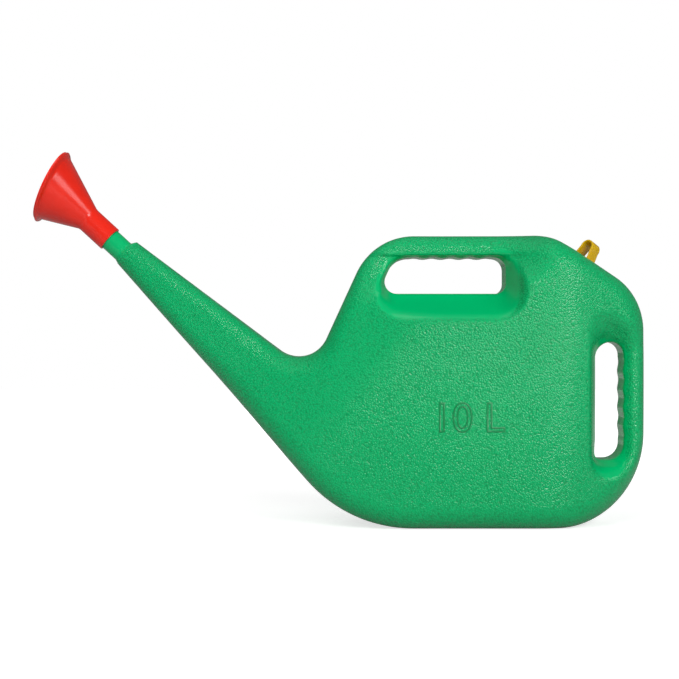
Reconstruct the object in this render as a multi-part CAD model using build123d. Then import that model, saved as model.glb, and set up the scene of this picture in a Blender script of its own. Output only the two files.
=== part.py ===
from build123d import *

import math
import os

# Watering can: a flat, blow-moulded tank with two hand holes, a push-on rose and a filler bung.
# Millimetres.  +Z up, the spout reaches to -X, and Y = 0 is the plane of symmetry.
# The origin is the centre of the flat underside.

# Tank, seen from the side
wall = 1.8
flat_half = 75.0              # half length of the flat underside
right_side = 180.0            # from the origin to the back of the can
tank_top = 314.5
heel_radius = 105.0           # round under the rear handle
toe_radius = 150.0            # round under the spout
shoulder_foot = 249.5         # height at which the sloped shoulder would meet the back
shoulder_slope = 31.0         # degrees, down towards the back
shoulder_radius = 75.0
crown_radius = 60.0
brow_foot = -116.0            # where the leaning front side would meet the top
brow_slope = 65.4             # degrees
brow_radius = 70.0
throat_radius = 34.0

# Tank, seen from above
half_depth = 69.0
rear_half_depth = 27.0        # at the back of the can
rear_taper_start = 83.0
taper_round = 90.0
edge_radius = 24.0
edge_share = 0.72             # most of the spout root's half height that the edge's round may take

# Spout
spout_reach = 386.5           # from the origin to the centre of the spout's end
spout_rise = 296.8
spout_angle = 42.6            # degrees above level
spout_top_slope = 37.0
spout_end_radius = 15.8
spout_root_half_depth = 36.0
root_setback = 12.0           # from the throat's round to the spout's root
cheek_length = 110.0          # over which the tank widens behind the spout's root
cheek_round = 120.0
neck_radius = 12.2
neck_drop = 1.8               # the neck lies this far below the spout's centre line
neck_shoulder = 4.0
neck_ledge = 0.5              # narrow flat round the shoulder, at the spout's end
neck_length = 50.0            # from the spout's end, shoulder included

# Hand holes
grip_half_depth = 24.0
grip_bevel = 6.0              # softened edges of the grips and hand holes
finger_pitch = 20.0
finger_depth = 1.3
fingers = 5
dish_radius = 30.0
flare_ledge = 0.5             # flat left of the top hole's flared edge, before the steep wall
top_hole_left = -111.4        # where its leaning left edge would meet its floor
top_hole_right = 27.5
top_hole_floor = 251.3
top_hole_roof = 291.3
top_hole_radius = 9.0
top_hole_toe_radius = 12.4    # between the floor and the leaning edge
top_hole_brow_radius = 22.0
top_fingers_middle = -31.0
top_dish_left = 8.7
top_dish_right = 21.0
top_dish_below = 28.0
rear_hole_left = 124.5
rear_hole_right = 156.5
rear_hole_floor = 71.0
rear_hole_roof = 198.7
rear_hole_radius = 15.0
rear_fingers_middle = 137.0
rear_dish_left = 21.0
rear_dish_above = 40.0
rear_dish_below = 25.0

# Filler hole in the sloped shoulder, and its bung
filler_climb = 76.0           # up the shoulder from its foot
filler_radius = 21.0
seat_radius = 26.0
seat_depth = 2.6
collar_length = 12.0
seat_gap = 0.2                # under the bung's flange
flange_play = 0.6
flange_thickness = 2.2
skirt_length = 17.0
skirt_play = 0.6
bung_wall = 2.0
rib_play = 0.08
rib_height = 1.6
rib_depths = (3.0, 8.0)       # of the two sealing ribs, under the flange
boss_radius = 12.4
boss_height = 2.9
strap_width = 12.5
strap_thickness = 2.0
strap_span = 21.0
strap_height = 18.0
strap_turn = 43.0             # degrees from the slope, about the bung's axis

# Rose
rose_gap = 24.0               # from the spout's end to the rose
socket_radius = 14.2
socket_length = 32.6
socket_play = 0.08
stop_gap = 0.3                # between the neck's mouth and the step inside the rose
stop_bore_radius = 9.5
cone_length = 53.7
cone_rim_radius = 39.0
cone_wall = 1.7
rim_radius = 41.0
rim_thickness = 3.2
face_slope = 25.4             # degrees above level that the perforated face looks
face_thickness = 2.0
face_edge_step = 0.8          # between the face's edge and the rim's
face_ring_inset = 3.0         # of the ring that centres the face in the cone
face_ring_height = 3.0
face_ring_wall = 1.5
spray_radius = 1.0
spray_pitch = 7.5
spray_rings = 4
spray_step = 6                # more holes in each ring than in the ring inside it

over = 30.0                   # how far a cutter runs past what it cuts
short_over = 1.0              # the same for a cutter beside a grip
nearly_round = 0.15           # by this much the corners of the spout's end fall short of a full circle
same = 0.01                   # points and directions closer than this are taken as one


def unit(angle):
    """X and Z of a unit vector at an angle in degrees."""
    return math.cos(math.radians(angle)), math.sin(math.radians(angle))


def step(point, angle, length):
    """Point reached from another by going some length at an angle."""
    ux, uz = unit(angle)
    return point[0] + ux * length, point[1] + uz * length


def meet(p, p_angle, q, q_angle):
    """Point where two lines cross, each given as a point and an angle."""
    ux, uz = unit(p_angle)
    vx, vz = unit(q_angle)
    t = ((q[0] - p[0]) * vz - (q[1] - p[1]) * vx) / (ux * vz - uz * vx)
    return p[0] + ux * t, p[1] + uz * t


def square_to(point, angle):
    """Plane that faces along an angle in the plane of symmetry; its local X is the can's Y."""
    ux, uz = unit(angle)
    return Plane(origin=(point[0], 0, point[1]), x_dir=(0, 1, 0), z_dir=(ux, 0, uz))


# Points and angles that follow from the sizes
outward = 180.0 - spout_angle
across = 90.0 - spout_angle   # from the spout's lower to its upper edge
spout_end = (-spout_reach, spout_rise)
end_low = step(spout_end, across, -spout_end_radius)
end_high = step(spout_end, across, spout_end_radius)
toe_centre = (-flat_half, toe_radius)
to_toe = math.degrees(math.atan2(toe_centre[1] - end_low[1], toe_centre[0] - end_low[0]))
spout_low_angle = to_toe - math.degrees(math.asin(toe_radius / math.dist(end_low, toe_centre)))
toe = meet(end_low, spout_low_angle, (0, 0), 0)
throat = meet(end_high, -spout_top_slope, (brow_foot, tank_top), brow_slope)
throat_run = throat_radius * math.tan(math.radians((brow_slope + spout_top_slope) / 2))
root_high = step(throat, 180 - spout_top_slope, throat_run + root_setback)
root_low = meet(root_high, across, end_low, spout_low_angle)
root_centre = ((root_high[0] + root_low[0]) / 2, (root_high[1] + root_low[1]) / 2)
shoulder = (right_side, shoulder_foot)
filler = step(shoulder, 180 - shoulder_slope, filler_climb)
neck_root = step(spout_end, across, -neck_drop)
rose_mouth = step(neck_root, outward, rose_gap)
rose_joint = step(rose_mouth, outward, socket_length)
rose_rim = step(rose_joint, outward, cone_length)
face_angle = 180.0 - face_slope


def profile(points, radii):
    """Face from an outline's corners and the radius at each of them."""
    return make_face(FilletPolyline(*points, radius=radii, close=True).edges())


def mirrored(points):
    """Half an outline, closed by its mirror image in the local X axis."""
    return points + [(x, -y) for x, y in reversed(points)]


def side_face():
    """The tank from the side, from the spout's root round the whole can."""
    crown = meet(shoulder, 180 - shoulder_slope, (0, tank_top), 0)
    outline = [
        (root_low, 0),
        (toe, toe_radius),
        ((right_side, 0), heel_radius),
        (shoulder, shoulder_radius),
        (crown, crown_radius),
        ((brow_foot, tank_top), brow_radius),
        (throat, throat_radius),
        (root_high, 0),
    ]
    corners = [corner for corner, radius in outline]
    radii = [radius for corner, radius in outline]
    return profile(corners, radii)


def cheeks(inset):
    """The tank's depth seen across the spout: it widens steadily behind the spout's root."""
    half = half_depth - inset
    points = [(0, spout_root_half_depth - inset), (cheek_length, half), (2 * spout_reach, half)]
    radii = [0, cheek_round, 0]
    ux, uz = unit(-spout_angle)
    vx, vz = unit(across)
    plane = Plane(origin=(root_centre[0], 0, root_centre[1]), x_dir=(ux, 0, uz), z_dir=(vx, 0, vz))
    return extrude(plane * profile(mirrored(points), radii + radii[::-1]), 2 * tank_top, both=True)


def rear_taper(inset):
    """The tank's depth seen from above: it narrows towards the back."""
    half = half_depth - inset
    points = [(-2 * right_side, half), (rear_taper_start, half), (right_side, rear_half_depth - inset)]
    radii = [0, taper_round, 0]
    return extrude(profile(mirrored(points), radii + radii[::-1]), 2 * tank_top, both=True)


def root_face(body):
    """The flat end of the tank from which the spout starts."""
    towards_tip = square_to(root_centre, outward).z_dir
    return [face for face in body.faces() if (face.normal_at() - towards_tip).length < same][0]


def slab(inset):
    """The tank's body without hand holes; an inset gives the hollow inside it."""
    side = side_face()
    if inset:
        side = offset(side, -inset)
    body = extrude(Plane.XZ * side, half_depth - inset, both=True) & cheeks(inset) & rear_taper(inset)
    band = [face for face in body.faces() if abs(face.normal_at().Y) < same]
    cut_ends = [edge.center() for edge in root_face(body).edges()]
    rims = []
    for edge in ShapeList(band).edges():
        one_sided = (edge @ 0).Y * (edge @ 1).Y > 0
        on_root = min((edge.center() - end).length for end in cut_ends) < same
        if one_sided and not on_root:
            rims.append(edge)
    room = edge_share * math.dist(root_high, root_low) / 2
    return fillet(rims, min(edge_radius, room) - inset)


def spout(inset, root):
    """The tapered spout, from the tank's flat end to the round end that carries the neck."""
    radius = spout_end_radius - inset
    end = RectangleRounded(2 * radius, 2 * radius, radius - nearly_round)
    return loft([root, square_to(spout_end, outward) * end], ruled=True)


def neck(inset):
    """The smooth round neck beyond the spout's end, with its sloped shoulder."""
    start = square_to(spout_end, outward)
    shoulder_end = square_to(step(neck_root, outward, neck_shoulder), outward)
    ledge = start * Circle(spout_end_radius - neck_ledge - inset)
    slope = loft([ledge, shoulder_end * Circle(neck_radius - inset)])
    run = neck_length - neck_shoulder + (over if inset else 0)
    return slope + extrude(shoulder_end * Circle(neck_radius - inset), run)


def wave(start, along, out, count):
    """Finger hollows in a row and the ridges between them, as faces cut from a straight edge."""
    half = finger_pitch / 4
    rise = finger_depth / 2
    hollows = []
    ridges = []
    for i in range(2 * count - 1):
        middle = start + along * (half * (2 * i + 1))
        bulge = out * (rise if i % 2 == 0 else -rise)
        arc = ThreePointArc(middle - along * half, middle + bulge, middle + along * half)
        face = make_face([arc.edge(), Edge.make_line(arc @ 1, arc @ 0)])
        (hollows if i % 2 == 0 else ridges).append(face)
    return hollows, ridges


def fingered(hole, start, along, out):
    """A hand hole's outline with finger hollows along one edge."""
    hollows, ridges = wave(start, along, out, fingers)
    for hollow in hollows:
        hole += hollow
    for ridge in ridges:
        hole -= ridge
    return hole


def leaning_edge(left, inset):
    """Point on a line that leans like the tank's front and passes left of the top hand hole."""
    return step((left, top_hole_floor), brow_slope + 90, inset)


def top_hole(inset, plain=True):
    """Outline of the hand hole under the top grip; the hollow keeps clear of it by the inset."""
    floor = top_hole_floor - inset
    roof = top_hole_roof + inset
    if not plain:
        roof -= finger_depth / 2
    edge = leaning_edge(top_hole_left, inset)
    corners = [
        meet(edge, brow_slope, (0, floor), 0),
        (top_hole_right + inset, floor),
        (top_hole_right + inset, roof),
        meet(edge, brow_slope, (0, roof), 0),
    ]
    radii = [top_hole_toe_radius, top_hole_radius, top_hole_radius, top_hole_brow_radius]
    hole = profile(corners, [radius + inset for radius in radii])
    if plain:
        return hole
    start = Vector(top_fingers_middle - (2 * fingers - 1) * finger_pitch / 4, roof)
    return fingered(hole, start, Vector(1, 0), Vector(0, 1))


def rear_hole(inset, plain=True):
    """Outline of the hand hole in front of the rear grip; the hollow keeps clear of it."""
    left = rear_hole_left - inset
    right = rear_hole_right + inset
    if not plain:
        right -= finger_depth / 2
    floor = rear_hole_floor - inset
    roof = rear_hole_roof + inset
    hole = profile([(left, floor), (right, floor), (right, roof), (left, roof)], [rear_hole_radius + inset] * 4)
    if plain:
        return hole
    start = Vector(right, rear_fingers_middle - (2 * fingers - 1) * finger_pitch / 4)
    return fingered(hole, start, Vector(0, 1), Vector(1, 0))


def hole_cutter(outline, inset):
    """A hand hole right through the can, flared where it leaves the grip's flat sides."""
    through = extrude(Plane.XZ * outline(inset, plain=inset > 0), half_depth, both=True)
    flat = grip_half_depth - inset
    reach = grip_bevel + short_over
    mouth = [
        Plane.XZ.offset(flat - grip_bevel) * outline(inset),
        Plane.XZ.offset(flat - grip_bevel + reach) * outline(inset + reach),
    ]
    flare = loft(mouth, ruled=True)
    return [through, flare, mirror(flare, Plane.XZ)]


def dish(rings, inset):
    """Sloped recess on both faces of the tank, from the grip's flat out past the tank's side.

    rings gives the recess's corners and radii at the grip's flat and at the tank's full depth.
    """
    floor = grip_half_depth - inset
    full = half_depth - inset
    faces = []
    for depth, (corners, radii) in zip((floor, full), rings):
        faces.append(Plane.XZ.offset(depth) * profile(corners, radii))
    front = loft(faces, ruled=True)
    lid = extrude(faces[1], over)
    tool = front + lid
    return tool + mirror(tool, Plane.XZ)


def top_dish(inset):
    """Recess round the top hand hole, open at the top so that the grip above it is slim."""
    high = tank_top + over
    rings = []
    for left, right, below, toe_round, radius in (
        (grip_bevel + flare_ledge, 0, 0, top_hole_toe_radius, top_hole_radius),
        (top_dish_left, top_dish_right, top_dish_below, dish_radius, dish_radius),
    ):
        edge = leaning_edge(top_hole_left - left, inset)
        right_edge = top_hole_right + right + inset
        floor = top_hole_floor - below - inset
        corners = [
            meet(edge, brow_slope, (0, floor), 0),
            (right_edge, floor),
            (right_edge, high),
            meet(edge, brow_slope, (0, high), 0),
        ]
        rings.append((corners, [toe_round + inset, radius + inset, 0, 0]))
    return dish(rings, inset)


def rear_dish(inset):
    """Recess round the rear hand hole, open at the back so that the grip behind it is slim."""
    back = right_side + over
    rings = []
    for left, above, below, radius in (
        (0, 0, 0, rear_hole_radius),
        (rear_dish_left, rear_dish_above, rear_dish_below, dish_radius),
    ):
        x0 = rear_hole_left - left - inset
        z0 = rear_hole_floor - below - inset
        z1 = rear_hole_roof + above + inset
        corners = [(x0, z0), (back, z0), (back, z1), (x0, z1)]
        rings.append((corners, [radius + inset, 0, 0, radius + inset]))
    return dish(rings, inset)


def grip_top_bevels(inset):
    """Cutters that soften the two long edges on top of the top grip."""
    side = grip_half_depth - inset
    top = tank_top - inset
    corner = [
        (side - grip_bevel, top),
        (side, top - grip_bevel),
        (side + short_over, top - grip_bevel),
        (side + short_over, top + short_over),
        (side - grip_bevel, top + short_over),
    ]
    left = meet((top_hole_left, top_hole_floor), brow_slope, (0, tank_top), 0)[0]
    start = Plane.YZ.offset(left)
    cutter = extrude(start * make_face(Polyline(*corner, close=True)), top_hole_right - left)
    return [cutter, mirror(cutter, Plane.XZ)]


def can_form(inset):
    """The whole moulding without its mouths; an inset gives the hollow inside it."""
    form = slab(inset)
    root = root_face(form)
    form = form - rear_dish(inset) - top_dish(inset)
    for tool in hole_cutter(rear_hole, inset) + hole_cutter(top_hole, inset) + grip_top_bevels(inset):
        form -= tool
    return form + spout(inset, root) + neck(inset)


def rod(plane, radius, start, end):
    """Round rod along a plane's normal, between two heights over the plane."""
    return extrude(plane.offset(start) * Circle(radius), end - start)


def tank():
    """The blow-moulded can: body, spout, neck and grips in one hollow piece."""
    plane = square_to(filler, 90 - shoulder_slope)
    cup = rod(plane, seat_radius + wall, -seat_depth - wall, -wall / 2)
    collar = rod(plane, filler_radius + wall, -seat_depth - collar_length, -seat_depth)
    seat = rod(plane, seat_radius, -seat_depth, over)
    bore = rod(plane, filler_radius, -over, over)
    return can_form(0) - can_form(wall) + cup + collar - seat - bore


def strap():
    """Finger loop of the bung, standing on the boss, in the bung's own frame."""
    def arch(radius):
        legs = strap_height - strap_span / 2
        line = Polyline((radius, 0), (radius, legs)) + ThreePointArc(
            (radius, legs), (0, legs + radius), (-radius, legs)
        ) + Polyline((-radius, legs), (-radius, 0), (radius, 0))
        return make_face(line.edges())

    outer = strap_span / 2
    band = arch(outer) - arch(outer - strap_thickness)
    loop = extrude(Plane.XZ * band, strap_width / 2, both=True)
    return Rot(0, 0, 90 - strap_turn) * loop


def filler_bung():
    """Push-in bung: hollow skirt with sealing ribs, flange, boss and finger loop."""
    plane = square_to(filler, 90 - shoulder_slope).offset(seat_gap - seat_depth)
    skirt_radius = filler_radius - skirt_play
    bung = rod(plane, seat_radius - flange_play, 0, flange_thickness)
    bung += rod(plane, skirt_radius, -skirt_length, 0)
    for depth in rib_depths:
        bung += rod(plane, filler_radius - rib_play, -depth - rib_height, -depth)
    bung -= rod(plane, skirt_radius - bung_wall, -skirt_length, 0)
    boss_top = flange_thickness + boss_height
    bung += rod(plane, boss_radius, 0, boss_top)
    return bung + plane.offset(boss_top) * strap()


def cone(radius_less):
    """The rose's oblique cone, from the end of its socket to its rim."""
    joint = square_to(rose_joint, outward) * Circle(socket_radius - radius_less)
    rim = square_to(rose_rim, face_angle) * Circle(cone_rim_radius - radius_less)
    return loft([joint, rim], ruled=True)


def rose_cone():
    """Socket that pushes over the neck, and the cone that widens to the rose's face."""
    mouth = square_to(rose_mouth, outward)
    rim = square_to(rose_rim, face_angle)
    bore_depth = neck_length - rose_gap + stop_gap
    body = rod(mouth, socket_radius, 0, socket_length) + cone(0)
    body += rod(rim, rim_radius, -rim_thickness, 0)
    body -= cone(cone_wall)
    body -= rod(mouth, neck_radius + socket_play, 0, bore_depth)
    return body - rod(mouth, stop_bore_radius, 0, socket_length + short_over)


def rose_face():
    """Perforated plate that closes the rose, with a ring that centres it in the cone."""
    rim = square_to(rose_rim, face_angle)
    ring_radius = cone_rim_radius - cone_wall - face_ring_inset
    face = rod(rim, rim_radius - face_edge_step, 0, face_thickness)
    face += rod(rim, ring_radius, -face_ring_height, 0) - rod(rim, ring_radius - face_ring_wall, -over, 0)
    face -= rod(rim, spray_radius, -over, over)
    for ring in range(1, spray_rings + 1):
        spots = rim * PolarLocations(ring * spray_pitch, spray_step * ring)
        face -= [spot * Cylinder(spray_radius, over) for spot in spots]
    return face


if __name__ == "__main__":
    os.makedirs("parts", exist_ok=True)
    for make in (tank, filler_bung, rose_cone, rose_face):
        export_step(make(), f"parts/{make.__name__}.step")
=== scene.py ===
"""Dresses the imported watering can: its moulded skin, bung, rose, floor and light."""

import math

import bmesh
import bpy
import numpy as np
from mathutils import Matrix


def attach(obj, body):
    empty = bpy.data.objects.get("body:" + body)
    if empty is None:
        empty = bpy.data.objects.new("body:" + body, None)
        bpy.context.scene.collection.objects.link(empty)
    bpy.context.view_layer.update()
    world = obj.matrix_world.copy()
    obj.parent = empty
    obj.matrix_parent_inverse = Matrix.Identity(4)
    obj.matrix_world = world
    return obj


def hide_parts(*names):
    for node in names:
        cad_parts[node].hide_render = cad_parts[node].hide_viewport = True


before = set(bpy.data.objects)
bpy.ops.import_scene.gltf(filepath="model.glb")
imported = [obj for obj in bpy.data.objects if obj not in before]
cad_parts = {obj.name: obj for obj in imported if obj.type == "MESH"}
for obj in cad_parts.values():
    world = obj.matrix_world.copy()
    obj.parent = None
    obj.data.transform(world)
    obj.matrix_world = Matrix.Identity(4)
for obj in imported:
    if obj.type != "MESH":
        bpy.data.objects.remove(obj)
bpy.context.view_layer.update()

import openvdb
from mathutils import Vector

bl_info = {
    "name": "Watering Can",
    "version": (1, 0, 0),
    "blender": (4, 5, 0),
    "location": "3D View > Sidebar > Watering Can",
    "description": "Dresses a packed watering can with its moulded skin, bung, rose, floor and light",
    "category": "Object",
}

MM = 0.001

# Sizes in millimetres and degrees: +Z is up and the spout reaches to -X. They are the solids' own,
# but for the rounds of the heel and the shoulder, which are a little fuller here.
FLAT_HALF = 75.0
RIGHT_SIDE = 180.0
TANK_TOP = 314.5
HEEL_RADIUS = 99.0
TOE_RADIUS = 150.0
SHOULDER_FOOT = 249.5
SHOULDER_SLOPE = 31.0
SHOULDER_RADIUS = 68.0
CROWN_RADIUS = 60.0
BROW_FOOT = -116.0
BROW_SLOPE = 65.4
BROW_RADIUS = 70.0
THROAT_RADIUS = 34.0
HALF_DEPTH = 68.0             # leaves room for the raised capacity mark
REAR_HALF_DEPTH = 27.0
REAR_TAPER_START = 83.0
REAR_BEND = 12.0              # reach of the bend where the rear's taper starts
SPOUT_END = (-386.5, 296.8)
SPOUT_ANGLE = 42.6
SPOUT_TOP_SLOPE = 37.0
SPOUT_END_RADIUS = 15.8
ROOT_HALF_DEPTH = 36.0
ROOT_SETBACK = 12.0
CHEEK_LENGTH = 110.0          # how far the body takes to widen behind the spout's root
CHEEK_BEND = 6.0
ROOT_BEND = 4.0
NECK_RADIUS = 12.2
NECK_DROP = 1.8
NECK_SHOULDER = 4.0
NECK_LENGTH = 50.0
GRIP_HALF_DEPTH = 22.5        # at the hand holes; the grips swell from there
GRIP_SWELL = 4.5
GRIP_SWELL_REACH = 2.0
UNDER_GRIP = (-6.0, 1.0)      # heights, from the top hole's roof, over which the grip's underside sets in
SADDLE_RIGHT = (8.0, 82.0)    # X over which the top grip widens to the can's full depth
SADDLE_LEFT = (-10.0, 62.0)   # the same past its other end, from the hole's leaning edge
RIGHT_RISE = (258.0, 292.0)   # heights over which each saddle sets in
LEFT_RISE = (236.0, 292.0)
CROWN_RUN = (45.0, 108.0)     # X over which the crown's wide rounding narrows towards the filler
CROWN_RISE = (235.0, 285.0)
FRONT_RUN = (-50.0, 20.0)     # the front's narrower rounding sets in, from the same leaning edge
FRONT_RISE = (160.0, 230.0)
DISH_EASE = 0.2               # softness of each recess's inner edge, as a share of its slope
FINGER_PITCH = 20.0
FINGERS = 5
TOP_HOLE = (-111.4, 27.5, 251.3, 291.3)     # left corner, right, floor and roof
TOP_HOLE_ROUNDS = (13.0, 11.0, 13.0, 24.0)  # from the left corner, anticlockwise
TOP_FINGERS_MIDDLE = -31.0
TOP_DISH = (8.7, 15.0, 28.0)                # width on the left, right and below
TOP_DISH_ROOF = 300.0
DISH_ROUND = 30.0
DISH_HIGH_ROUNDS = (24.0, 16.0)
REAR_HOLE = (124.5, 156.5, 71.0, 198.7)
REAR_HOLE_ROUNDS = (7.0, 17.0, 14.0, 17.0)  # from the low left corner, anticlockwise
REAR_FINGERS_MIDDLE = 137.0
REAR_DISH = (13.0, 46.0, 25.0)              # width on the left, above and below
REAR_BARE = (8.0, 3.0, 20.0)                # what the grain leaves bare there, the same way round
TOP_BARE_RUN = (-6.0, 40.0)                 # X, from the top hole, over which the grain comes back
BARE_FADE = (-3.0, 2.0)                     # how it fades across the edge of a bare part
HOLE_FADE = (0.5, 4.0)                      # and how it fades out before a hand hole
GRAIN_ON_TOP_GRIP = (-2.0, 7.0)             # heights, from the hole's roof, over which the grip has it
GRAIN_END = (8.0, 26.0)                     # X over which the grip's part of it ends
GRAIN_ON_REAR_GRIP = (1.0, 8.0)             # X, from the rear hole, over which that grip has it
REAR_EDGE_RUN = (132.0, 152.0)              # X over which that hole's edge gets its wide rounding
REAR_EDGE_RISE = (80.0, 95.0)               # height below which it has it all round
DISH_SOFTNESS = 17.0                        # most that a recess's rim is blended
DISH_SOFTENING = (5.0, 4.0)                 # its blend where a wall is flat, and what steepness adds
GRIP_DISH_SOFTNESS = 3.0                    # the blend right under the top grip
FILLER_CLIMB = 76.0
FILLER_RADIUS = 21.0
SEAT_RADIUS = 26.0
SEAT_DEPTH = 2.6
COLLAR_LENGTH = 12.0
SEAT_GAP = 0.2
FLANGE_RADIUS = 25.4
FLANGE_THICKNESS = 2.2
SKIRT_RADIUS = 20.4
SKIRT_LENGTH = 17.0
BUNG_WALL = 2.0
RIB_RADIUS = 20.92
RIB_HEIGHT = 1.6
RIB_DEPTHS = (3.0, 8.0)
BOSS_RADIUS = 12.4
BOSS_HEIGHT = 2.9
STRAP_WIDTH = 14.5
STRAP_THICKNESS = 2.0
STRAP_SPAN = 21.0
STRAP_HEIGHT = 20.0
STRAP_TURN = 50.0
STRAP_BEND = 7.2              # radius at its top, where the two leaning legs meet
STRAP_EDGE = 0.55
STRAP_SINK = 0.2              # how far its feet go into the boss
ROSE_GAP = 24.0
SOCKET_RADIUS = 14.2
SOCKET_LENGTH = 32.6
SOCKET_BORE = 12.28
SOCKET_DEPTH = 26.3
STOP_BORE_RADIUS = 9.5
CONE_LENGTH = 53.7
CONE_RIM_RADIUS = 39.0
CONE_WALL = 1.7
RIM_RADIUS = 41.0
FACE_SLOPE = 25.4
LIP_DROP = 0.8                # the lip stands lower than the cone, and is that much wider
# How far along the cone its lip flares, and by what share of the lip's height
LIP = ((0.925, 0.06), (0.94, 0.2), (0.952, 0.45), (0.962, 0.72), (0.972, 0.92), (0.984, 1.0))

# The capacity mark, and a font's size for capitals of height 1
MARK_PLACE = (-18.0, 105.0)
FONT_PER_CAPITAL = 1.45

# How the skin's field is sampled, in millimetres: a grid over the can, from a corner below its toe
CELL = 2.5
FINE_CELL = CELL / 2
GRID_CORNER = (-430.6, -13.4)
GRID_COUNT = (500, 272)
BAND = 3 * CELL
CHORD_ERROR = 0.02
NUDGE = 0.3

# The patterns that run through the colours, as repeats per metre, and the painted shade between the pebbles
CLOUDS = 9.0                  # slow drift of the can's green
FLOW_MARKS = 45.0             # flow marks of the smooth plastics
PIT_SHADE_START = 0.28              # depth in the grain from which the painted shade, a deeper green, shows
CLOUD_SHARE = 0.25            # how much of it the drift adds

# The stage, in metres and watts. Each softbox has its place, target, size and power, and whether it
# shows in the gloss: two on the right and the one above do, so the highlights sit on the right.
SOFTBOXES = (
    ("softbox_right", (1.35, -1.15, 0.95), (0.0, 0, 0.2), 0.8, 9.0, True),
    ("softbox_near", (0.72, -1.75, 0.92), (0.0, 0, 0.2), 0.45, 16.0, True),
    ("softbox_front", (-0.9, -1.7, 1.3), (-0.15, 0, 0.2), 1.2, 23.0, False),
    ("softbox_back", (-0.5, 2.2, 1.0), (-0.15, 0, 0.2), 1.4, 14.0, False),
    ("softbox_above", (-0.3, -0.3, 1.9), (-0.15, 0, 0.2), 1.0, 4.0, True),
)
SURROUND = 0.1                # light from all round
GLOSS_SHARE = 0.1             # share of the white background in the gloss: all of it greys the colours
FLOOR_HALF = 4.0
FLOOR_GLOW = {"From Min": 0.3, "From Max": 1.4, "To Min": 0.72, "To Max": 1.0}
CAMERA_PLACE = (-0.1531, -1.5, 0.2016)
CAMERA_LENS = 72.3            # millimetres, on a 36 mm sensor


def unit(angle):
    """X and Z of a unit vector at an angle in degrees."""
    return math.cos(math.radians(angle)), math.sin(math.radians(angle))


def step(point, angle, length):
    """Point reached from another by going some length at an angle."""
    ux, uz = unit(angle)
    return point[0] + ux * length, point[1] + uz * length


def meet(p, p_angle, q, q_angle):
    """Point where two lines cross, each given as a point and an angle."""
    ux, uz = unit(p_angle)
    vx, vz = unit(q_angle)
    t = ((q[0] - p[0]) * vz - (q[1] - p[1]) * vx) / (ux * vz - uz * vx)
    return p[0] + ux * t, p[1] + uz * t


OUTWARD = 180.0 - SPOUT_ANGLE
ACROSS = 90.0 - SPOUT_ANGLE
END_LOW = step(SPOUT_END, ACROSS, -SPOUT_END_RADIUS)
END_HIGH = step(SPOUT_END, ACROSS, SPOUT_END_RADIUS)
TOE_CENTRE = (-FLAT_HALF, TOE_RADIUS)
TO_TOE = math.degrees(math.atan2(TOE_CENTRE[1] - END_LOW[1], TOE_CENTRE[0] - END_LOW[0]))
SPOUT_LOW_ANGLE = TO_TOE - math.degrees(math.asin(TOE_RADIUS / math.dist(END_LOW, TOE_CENTRE)))
TOE = meet(END_LOW, SPOUT_LOW_ANGLE, (0, 0), 0)
THROAT = meet(END_HIGH, -SPOUT_TOP_SLOPE, (BROW_FOOT, TANK_TOP), BROW_SLOPE)
THROAT_RUN = THROAT_RADIUS * math.tan(math.radians((BROW_SLOPE + SPOUT_TOP_SLOPE) / 2))
ROOT_HIGH = step(THROAT, 180 - SPOUT_TOP_SLOPE, THROAT_RUN + ROOT_SETBACK)
ROOT_LOW = meet(ROOT_HIGH, ACROSS, END_LOW, SPOUT_LOW_ANGLE)
ROOT = ((ROOT_HIGH[0] + ROOT_LOW[0]) / 2, (ROOT_HIGH[1] + ROOT_LOW[1]) / 2)
SPOUT_LENGTH = math.dist(ROOT, SPOUT_END)
SHOULDER = (RIGHT_SIDE, SHOULDER_FOOT)
CROWN = meet(SHOULDER, 180 - SHOULDER_SLOPE, (0, TANK_TOP), 0)
FILLER = step(SHOULDER, 180 - SHOULDER_SLOPE, FILLER_CLIMB)
FILLER_ANGLE = 90 - SHOULDER_SLOPE
NECK_ROOT = step(SPOUT_END, ACROSS, -NECK_DROP)
ROSE_MOUTH = step(NECK_ROOT, OUTWARD, ROSE_GAP)
ROSE_JOINT = step(ROSE_MOUTH, OUTWARD, SOCKET_LENGTH)
ROSE_RIM = step(ROSE_JOINT, OUTWARD, CONE_LENGTH)
FACE_ANGLE = 180.0 - FACE_SLOPE


# Outlines in the side view

def rounded(corners):
    """Closed outline through corners given as (x, z, radius), its arcs in short straight runs."""
    points = []
    for i, (x, z, radius) in enumerate(corners):
        here = np.array((x, z))
        before = np.array(corners[i - 1][:2]) - here
        after = np.array(corners[(i + 1) % len(corners)][:2]) - here
        before = before / np.linalg.norm(before)
        after = after / np.linalg.norm(after)
        if radius == 0:
            points.append(here)
            continue
        half = math.acos(np.clip(before @ after, -1, 1)) / 2
        bisector = (before + after) / np.linalg.norm(before + after)
        centre = here + bisector * radius / math.sin(half)
        start = here + before * radius / math.tan(half) - centre
        end = here + after * radius / math.tan(half) - centre
        first = math.atan2(start[1], start[0])
        turn = (math.atan2(end[1], end[0]) - first + math.pi) % (2 * math.pi) - math.pi
        count = math.ceil(abs(turn) / (2 * math.acos(1 - CHORD_ERROR / radius)))
        for angle in np.linspace(first, first + turn, count + 1):
            points.append(centre + radius * np.array((math.cos(angle), math.sin(angle))))
    return np.array(points)


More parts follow.
